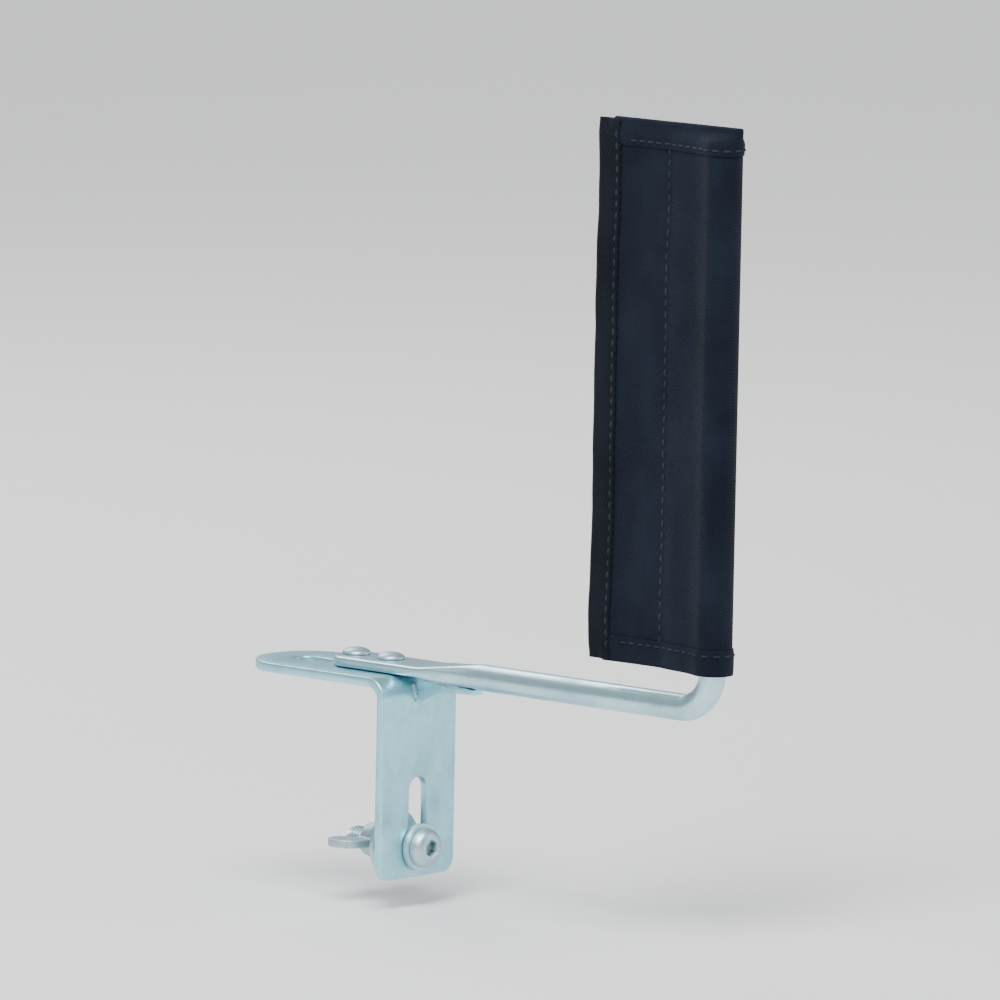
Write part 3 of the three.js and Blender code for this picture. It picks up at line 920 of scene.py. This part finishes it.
def applied(obj):
    """Replaces an object's mesh by what its modifiers make of it."""
    made = bpy.data.meshes.new_from_object(obj.evaluated_get(bpy.context.evaluated_depsgraph_get()))
    obj.modifiers.clear()
    obj.data = made


make_wing_nut()


# ---------------------------------------------------------------- net sleeve
CLOTH = 0.55 * MM
SLEEVE_LOW, SLEEVE_HIGH = sleeve_box.low.z, sleeve_box.high.z
PANEL_EDGE = sleeve_box.high.y  # where the net is sewn on
FLAT_HALF = 0.62 * MM  # from the net's plane to the middle of one layer
SEAM_Y = POST_Y + 16.5 * MM
ROUND = sleeve_box.size.x / 2 - CLOTH / 2
CLOSE_START = SLEEVE_HIGH - 3.9 * MM  # where the top begins to close
EAR = 0.7 * MM  # how far the flattened top reaches past the post
STITCH = 0.48 * MM  # thickness of the thread
TAPE_OVERLAP = 2.2 * MM
TAPE_END = 2.5 * MM  # length over which the tape is pressed flat at its ends
HEM = 6.5 * MM
HEM_LIFT = 0.25 * MM
LEAN = 0.255  # angle at which each layer leaves the post, in radians


def waviness(y, z):
    """How far both layers stand off the net's plane: shallow folds along the pull of the net."""
    from_post = min(1.0, max(0.0, (y - POST_Y - 6 * MM) / (14 * MM)))
    low = noise.noise(Vector((y * 14, 0.3, z * 38)))
    mid = noise.noise(Vector((y * 30, 4.1, z * 95)))
    hang = math.exp(-max(0.0, z - SLEEVE_LOW) / (9 * MM))
    curl = 0.5 * MM * hang * math.sin((y - POST_Y) / (11 * MM))
    return from_post * (0.75 * MM * low + 0.3 * MM * mid + curl)


def pucker(y, z):
    """Small ripples beside the sewn lines."""
    close = math.exp(-(((y - SEAM_Y) / (2.2 * MM)) ** 2)) + math.exp(-(((y - PANEL_EDGE) / (3 * MM)) ** 2))
    return close * 0.13 * MM * math.sin(z / (3.1 * MM) * TURN + 2 * noise.noise(Vector((0, 0, z * 60))))


def sleeve_path():
    """Half of the cloth's loop in plan, from the sewn edge to the outer side of the post: (x, y) points."""
    points = []
    count = 16
    for i in range(count):
        points.append((FLAT_HALF, PANEL_EDGE + (SEAM_Y - PANEL_EDGE) * i / count))
    leave = (ROUND * math.cos(LEAN), POST_Y + ROUND * math.sin(LEAN))
    count = 12
    for i in range(count):
        t = i / count
        ease = t + 0.12 * math.sin(TURN * t) / TURN * 4
        belly = 0.35 * MM * math.sin(math.pi * t)
        points.append((FLAT_HALF + (leave[0] - FLAT_HALF) * ease - belly, SEAM_Y + (leave[1] - SEAM_Y) * t))
    count = 16
    for i in range(count + 1):
        angle = LEAN - (LEAN + math.pi / 2) * i / count
        points.append((ROUND * math.cos(angle), POST_Y + ROUND * math.sin(angle)))
    return points


def sleeve_loop():
    """The cloth's whole loop in plan, from one sewn edge round the post to the other."""
    half = sleeve_path()
    return half + [(-x, y) for x, y in reversed(half[:-1])]


def closing(z):
    """How much of the post's roundness is left at a height: the top is sewn flat."""
    t = min(1.0, max(0.0, (z - CLOSE_START) / (SLEEVE_HIGH - 0.4 * MM - CLOSE_START)))
    return 1 - t * t * (3 - 2 * t)


def cloth_point(x, y, z):
    """A point of the loop, with folds, ripples and the flattened top."""
    side = 1 if x >= 0 else -1
    openness = closing(z)
    thin = min(abs(x), FLAT_HALF)
    layer = CLOTH / 2 / FLAT_HALF
    spread = (abs(x) - thin) * openness + thin * (layer + (1 - layer) * openness)
    reach = (1 - openness) * EAR * min(1.0, max(0.0, (POST_Y - y) / ROUND))
    return Vector((side * (spread + pucker(y, z)) + waviness(y, z), y - reach, z))


def make_sleeve():
    """The cloth itself: its loop in plan, repeated at every height with the folds."""
    loop = sleeve_loop()
    rows = 150
    verts = []
    for j in range(rows + 1):
        z = SLEEVE_LOW + (SLEEVE_HIGH - SLEEVE_LOW) * j / rows
        verts += [cloth_point(x, y, z) for x, y in loop]
    obj = piece("sleeve_cloth", verts, grid_faces(rows, len(loop)), sharp_deg=80)
    thicken(obj, "Cloth thickness", CLOTH)
    soft = obj.modifiers.new("Soft", "SUBSURF")
    soft.levels = soft.render_levels = 1
    return place(obj, "sleeve", "sleeve_cloth", "net_sleeve", material=sleeve_cloth)


def band(name, low, high, stand_off, material, closed=False):
    """A folded hem lying on the sleeve between two heights, or closed over the sleeve's top."""
    loop = sleeve_loop()
    rows = 10
    verts = []
    for j in range(rows + 1):
        t = j / rows
        z = low + (high - low) * t
        lift = stand_off * (1.0 if closed and t > 0.5 else math.sin(math.pi * (t * 0.94 + 0.03)) ** 0.35)
        for k, (x, y) in enumerate(loop):
            p = cloth_point(x, y, z)
            before = cloth_point(*loop[max(k - 1, 0)], z)
            after = cloth_point(*loop[min(k + 1, len(loop) - 1)], z)
            along = (after - before).normalized()
            normal = Vector((-along.y, along.x, 0))
            verts.append(p - normal * (CLOTH / 2 + lift) * orientation(loop))
    count = len(loop)
    if closed:
        rim = verts[-count:]
        for share, rise in ((0.72, 0.3 * MM), (0.3, 0.42 * MM), (0.08, 0.45 * MM)):
            for p in rim:
                middle = waviness(p.y, high)
                verts.append(Vector((middle + (p.x - middle) * share, p.y, high + rise)))
        rows += 3
    faces = grid_faces(rows, count)
    if closed:
        last = rows * count
        for i in range(count // 2):
            bridge = (last + i, last + i + 1, last + count - 2 - i, last + count - 1 - i)
            faces.append(tuple(dict.fromkeys(bridge)))
    obj = piece(name, verts, faces, sharp_deg=80)
    thicken(obj, "Hem thickness", 0.4 * MM)
    return place(obj, "sleeve", "sleeve_cloth", material=material)


def orientation(loop):
    """1 or -1, so that a hem stands outside the loop whichever way it runs."""
    area = sum(x1 * y2 - x2 * y1 for (x1, y1), (x2, y2) in zip(loop, loop[1:]))
    return 1 if area > 0 else -1


def make_tape():
    """Binding tape folded over the sewn edge of the sleeve."""
    outer_edge = tape_box.high.y
    overlap = PANEL_EDGE - TAPE_OVERLAP
    thick = tape_box.size.x / 2 - 0.25 * MM
    section = [(thick, overlap)]
    section += [(thick, overlap + (outer_edge - thick - overlap) * i / 6) for i in range(1, 7)]
    section += [(x, y) for x, y in arc(0, outer_edge - thick, thick, 0, 90, 8)][1:]
    loop = section + [(-x, y) for x, y in reversed(section[:-1])]
    rows = 240
    verts = []
    for j in range(rows + 1):
        z = SLEEVE_LOW + (SLEEVE_HIGH - SLEEVE_LOW) * j / rows
        rib = 0.05 * MM * math.sin(TURN * (z - SLEEVE_LOW) / (1.1 * MM))
        drift = waviness(PANEL_EDGE, z)
        from_end = min(z - SLEEVE_LOW, SLEEVE_HIGH - z)
        near_end = math.exp(-((from_end / TAPE_END) ** 2))
        for x, y in loop:
            pinch = 1 - 0.3 * math.exp(-(((y - overlap - 1.2 * MM) / (0.8 * MM)) ** 2))
            past_panel = min(1.0, max(0.0, (y - PANEL_EDGE) / (1.2 * MM)))
            pinch *= 1 - 0.8 * near_end * past_panel
            verts.append(Vector((x * pinch + math.copysign(rib, x) + drift, y, z)))
    obj = piece("binding_tape", verts, grid_faces(rows, len(loop)), sharp_deg=80)
    thicken(obj, "Tape thickness", 0.5 * MM)
    return place(obj, "sleeve", "tape_cloth", "edge_tape", material=tape_cloth)


def stitches(name, points, length, width):
    """A row of thread stitches: short capsules sunk into the cloth at both ends.

    points is a list of (place, direction of the thread, side that the thread lies on).
    """
    bm = bmesh.new()
    for place_at, direction, out in points:
        tilt = direction.cross(out)
        rings = []
        for i in range(7):
            t = i / 6
            along = (t - 0.5) * length
            lift = width * (0.7 * math.sin(math.pi * t) - 0.42)
            r = width * (0.35 + 0.65 * math.sin(math.pi * t) ** 0.5) * 0.6
            centre = place_at + direction * along + out * lift
            ring = []
            for k in range(8):
                angle = TURN * k / 8
                ring.append(bm.verts.new(centre + (tilt * math.cos(angle) + out * math.sin(angle)) * r))
            rings.append(ring)
        for a, b in zip(rings, rings[1:]):
            for k in range(8):
                bm.faces.new((a[k], a[(k + 1) % 8], b[(k + 1) % 8], b[k]))
        bm.faces.new(rings[0][::-1])
        bm.faces.new(rings[-1])
    mesh = bpy.data.meshes.new(name)
    bmesh.ops.recalc_face_normals(bm, faces=bm.faces)
    bm.to_mesh(mesh)
    bm.free()
    obj = bpy.data.objects.new(name, mesh)
    bpy.context.scene.collection.objects.link(obj)
    for face in mesh.polygons:
        face.use_smooth = True
    return place(obj, "sleeve", "sleeve_cloth", material=thread_cloth)


def upright_stitches(name, y, half_x, side, pitch=3.0 * MM):
    """A vertical seam on one side of the sleeve."""
    chance = random.Random(name)
    count = int((SLEEVE_HIGH - SLEEVE_LOW - 4 * MM) / pitch)
    points = []
    for i in range(count):
        z = SLEEVE_LOW + 2.5 * MM + pitch * (i + 0.5)
        x = side * half_x + waviness(y, z)
        tilt = Vector((0, chance.uniform(-0.05, 0.05), 1)).normalized()
        points.append((Vector((x, y + chance.uniform(-0.06, 0.06) * MM, z)), tilt, Vector((side, 0, 0))))
    return stitches(name, points, pitch * 0.72, STITCH)


def level_stitches(name, z, extra, pitch=2.8 * MM):
    """A level seam that runs round the sleeve from one edge of the tape to the other."""
    chance = random.Random(name)
    loop = sleeve_loop()
    line = [cloth_point(x, y, z) for x, y in loop]
    outside = orientation(loop)
    points, run, due = [], 0.0, TAPE_OVERLAP + pitch
    total = sum((b - a).length for a, b in zip(line, line[1:]))
    for a, b in zip(line, line[1:]):
        step = (b - a).length
        while run + step > due and due < total - TAPE_OVERLAP - pitch:
            along = (b - a).normalized()
            out = Vector((along.y, -along.x, 0)) * outside
            here = a.lerp(b, (due - run) / step) + out * (CLOTH / 2 + extra)
            here.z += chance.uniform(-0.05, 0.05) * MM
            points.append((here, along, out))
            due += pitch
        run += step
    return stitches(name, points, pitch * 0.72, STITCH)


def make_sleeve_set():
    """The sleeve with its tape, hems and seams, each on the sleeve's body."""
    cloth = make_sleeve()
    extras = [make_tape()]
    seam_in, on_hem = 1.4 * MM, 0.42 * MM
    extras.append(band("hem_low", SLEEVE_LOW - 0.2 * MM, SLEEVE_LOW + HEM, HEM_LIFT, sleeve_cloth))
    extras.append(band("hem_top", SLEEVE_HIGH - HEM, SLEEVE_HIGH, HEM_LIFT, sleeve_cloth, closed=True))
    extras.append(level_stitches("seam_low", SLEEVE_LOW + HEM - seam_in, on_hem))
    extras.append(level_stitches("seam_top", SLEEVE_HIGH - HEM + seam_in, on_hem))
    panel_half = FLAT_HALF + CLOTH / 2
    tape_half = tape_box.size.x / 2 * 0.76
    for side, word in ((1, "right"), (-1, "left")):
        extras.append(upright_stitches(f"seam_post_{word}", SEAM_Y + 0.6 * MM, panel_half, side))
        extras.append(upright_stitches(f"seam_tape_{word}", PANEL_EDGE - 1.1 * MM, tape_half, side))


make_sleeve_set()


# ---------------------------------------------------------------- floor, light and camera
def floor_material():
    """Pale, slightly cloudy paint."""
    n = Nodes("floor_paint")
    tone = n.noise(3.0, 3.0, 0.5)
    speck = n.noise(260.0, 3.0, 0.6)
    colour = n.ramp(tone, (0.3, (0.80, 0.80, 0.80)), (0.7, (0.83, 0.83, 0.83)))
    return n.finish(colour, n.grey(tone, 0.3, 0.7, 0.7, 0.62), n.bump(speck, 0.05 * MM, 0.15))


def make_floor():
    """The studio floor, a little below the wing nut's reach."""
    low = nut_box.mid.z - nut_box.size.x / 2 - 3 * MM
    size = 5.0
    mesh = bpy.data.meshes.new("floor")
    corners = [(-size, -size, low), (size, -size, low), (size, size, low), (-size, size, low)]
    mesh.from_pydata(corners, [], [(0, 1, 2, 3)])
    mesh.materials.append(floor_material())
    floor = bpy.data.objects.new("floor", mesh)
    bpy.context.scene.collection.objects.link(floor)
    floor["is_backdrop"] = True


def softbox(name, where, aim, size, power, colour=(1, 1, 1)):
    """A rectangular lamp turned toward a point."""
    lamp = bpy.data.lights.new(name, "AREA")
    lamp.shape = "RECTANGLE"
    lamp.size, lamp.size_y = size
    lamp.energy = power
    lamp.color = colour
    obj = bpy.data.objects.new(name, lamp)
    obj.location = where
    obj.rotation_euler = (Vector(aim) - Vector(where)).to_track_quat("-Z", "Y").to_euler()
    bpy.context.scene.collection.objects.link(obj)


def make_light():
    """Soft studio light: a pale room, three softboxes and the ceiling."""
    world = bpy.data.worlds.new("studio")
    world.use_nodes = True
    world.node_tree.nodes["Background"].inputs["Color"].default_value = (0.86, 0.90, 0.95, 1)
    world.node_tree.nodes["Background"].inputs["Strength"].default_value = 0.42
    bpy.context.scene.world = world
    aim = (0, -0.03, 0.05)
    softbox("key", (-0.85, -0.35, 1.0), aim, (0.6, 0.6), 15)
    softbox("fill", (0.9, -1.0, 0.45), aim, (0.9, 0.9), 5, (0.93, 0.97, 1.0))
    softbox("back", (0.35, 1.0, 0.9), aim, (0.9, 0.5), 9)
    ceiling_light(2.9)


def ceiling_light(energy):
    """The broad, even light from above."""
    sun = bpy.data.lights.new("ceiling", "SUN")
    sun.energy, sun.angle = energy, math.radians(35)
    obj = bpy.data.objects.new("ceiling", sun)
    obj.rotation_euler = (math.radians(18), math.radians(-22), 0)
    bpy.context.scene.collection.objects.link(obj)


def make_camera():
    """Looks at the clamp as the photograph does. The angles come from the clamp, which leans there."""
    azimuth, elevation, distance = math.radians(-49.0), math.radians(7.6), 3.1
    roll = math.radians(1.1)
    low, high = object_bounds()
    aim = (low + high) / 2
    back = Vector(
        (
            math.sin(azimuth) * math.cos(elevation),
            -math.cos(azimuth) * math.cos(elevation),
            math.sin(elevation),
        )
    )
    camera = bpy.data.cameras.new("camera")
    camera.lens = 430
    camera.clip_start, camera.clip_end = 0.05, 30
    obj = bpy.data.objects.new("camera", camera)
    obj.location = aim + back * distance
    look = (-back).to_track_quat("-Z", "Y").to_matrix().to_4x4()
    obj.matrix_world = Matrix.Translation(obj.location) @ look @ Matrix.Rotation(roll, 4, "Z")
    bpy.context.scene.collection.objects.link(obj)
    bpy.context.scene.camera = obj


make_floor()
make_light()
make_camera()
